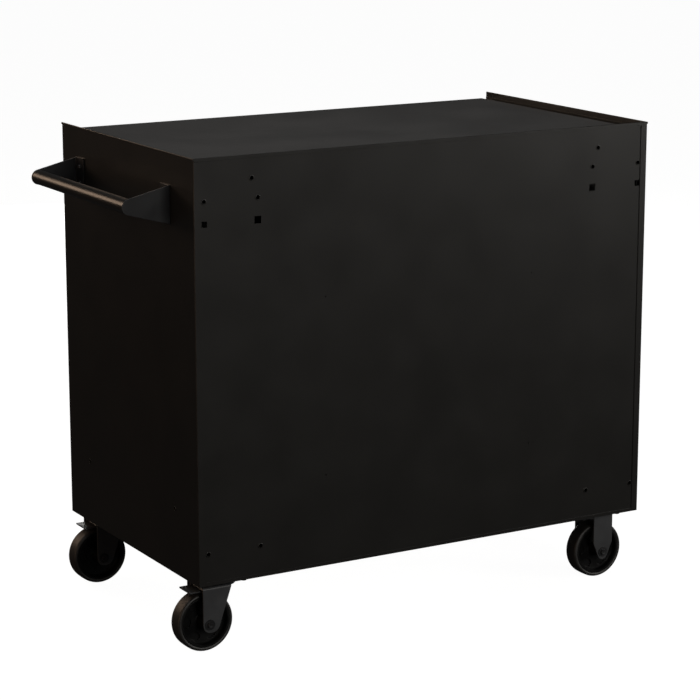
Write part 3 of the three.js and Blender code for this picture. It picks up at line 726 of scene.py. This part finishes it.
def casters():
    """Two braked swivel casters at the handle end and two rigid ones at the other."""
    for end in ENDS:
        for kind in ("swivel", "rigid"):
            tyre(f"{kind}_tyre_{end}")
            hub(f"{kind}_hub_{end}")
            axle(f"{kind}_axle_{end}")
            refined(f"{kind}_fork_{end}", CAST_BEVEL, CASTER_PAINT)
        refined(f"swivel_plate_{end}", CAST_BEVEL, CASTER_PAINT)
        refined(f"brake_pedal_{end}", CAST_BEVEL, CASTER_PAINT)
        swivel_race(end)
        plate_bolts(f"swivel_plate_{end}", f"swivel_plate_bolts_{end}")
        plate_bolts(f"rigid_fork_{end}", f"rigid_plate_bolts_{end}")


cabinet_shell()
back_fasteners()
end_panel_nuts()
tray_mat()
tray_trims()
push_handle()
cam_lock()
drawers()
casters()

# --------------------------------------------------------------- floor, light, camera

FLOOR_HALF_SIDE = 30000.0
FLOOR_GLOW = 0.97
AMBER = (1.0, 0.68, 0.47)
WARM = (1.0, 0.72, 0.52)
SOFT_WHITE = (1.0, 0.97, 0.92)

def floor():
    """A plain pale floor that the dark paint doesn't mirror."""
    mesh = bmesh.new()
    half = FLOOR_HALF_SIDE
    corners = [(-half, -half), (half, -half), (half, half), (-half, half)]
    mesh.faces.new([mesh.verts.new(Vector((x, y, 0)) * MM) for x, y in corners])
    data = bpy.data.meshes.new("floor")
    mesh.to_mesh(data)
    mesh.free()
    ground = bpy.data.objects.new("floor", data)
    bpy.context.scene.collection.objects.link(ground)
    white = surface("floor_white", (0.10, 0.10, 0.10), (0.11, 0.11, 0.11), (0.85, 0.95), bump=0.0)
    shader = white.node_tree.nodes["Principled BSDF"]
    shader.inputs["Emission Color"].default_value = (1, 1, 1, 1)
    shader.inputs["Emission Strength"].default_value = FLOOR_GLOW
    data.materials.append(white)
    ground.visible_glossy = False
    ground.visible_diffuse = False


def softbox(name, place, target, size, power, colour):
    """A large area light that faces a point, both in metres."""
    data = bpy.data.lights.new(name, "AREA")
    data.shape = "RECTANGLE"
    data.size, data.size_y = size
    data.energy = power
    data.color = colour
    lamp = bpy.data.objects.new(name, data)
    lamp.location = place
    lamp.rotation_mode = "QUATERNION"
    lamp.rotation_quaternion = (Vector(target) - Vector(place)).to_track_quat("-Z", "Y")
    bpy.context.scene.collection.objects.link(lamp)


def lights():
    """Warm light on the handle end, near white light on the back, front and top."""
    softbox("key", (2.8, -4.6, 2.3), (0.5, 0, 0.5), (1.8, 1.8), 44, WARM)
    softbox("handle_end_fill", (5.0, 0.8, 1.0), (0.5, 0, 0.5), (3.0, 2.4), 42, AMBER)
    softbox("back_fill", (0.1, 5.8, 1.9), (0, 0, 0.4), (1.8, 2.0), 94, SOFT_WHITE)
    softbox("right_fill", (-4.5, 4.5, 1.9), (-0.2, 0.3, 0.4), (2.0, 2.0), 124, SOFT_WHITE)
    softbox("front_fill", (-1.5, -5.0, 0.45), (0, 0, 0.5), (2.4, 0.9), 60, (1.0, 0.98, 0.95))
    softbox("overhead", (0.0, -0.5, 4.6), (0, 0, 1.0), (4.0, 4.0), 95, (1.0, 0.99, 0.97))
    world = bpy.data.worlds.new("studio")
    bpy.context.scene.world = world
    world.use_nodes = True
    background = world.node_tree.nodes["Background"]
    background.inputs["Color"].default_value = (0.9, 0.92, 0.95, 1)
    background.inputs["Strength"].default_value = 0.02


def camera():
    """The photograph's viewpoint."""
    data = bpy.data.cameras.new("camera")
    data.lens = CAMERA_LENS
    data.sensor_width = 36
    data.clip_end = 100
    eye = bpy.data.objects.new("camera", data)
    azimuth, elevation = math.radians(CAMERA_AZIMUTH), math.radians(CAMERA_ELEVATION)
    back = Vector(
        (
            math.sin(azimuth) * math.cos(elevation),
            -math.cos(azimuth) * math.cos(elevation),
            math.sin(elevation),
        )
    )
    eye.location = Vector(CAMERA_PLACE) * MM
    eye.rotation_mode = "QUATERNION"
    eye.rotation_quaternion = (-back).to_track_quat("-Z", "Y")
    bpy.context.scene.collection.objects.link(eye)
    bpy.context.scene.camera = eye


floor()
lights()
camera()
bpy.context.scene.view_settings.view_transform = "Standard"
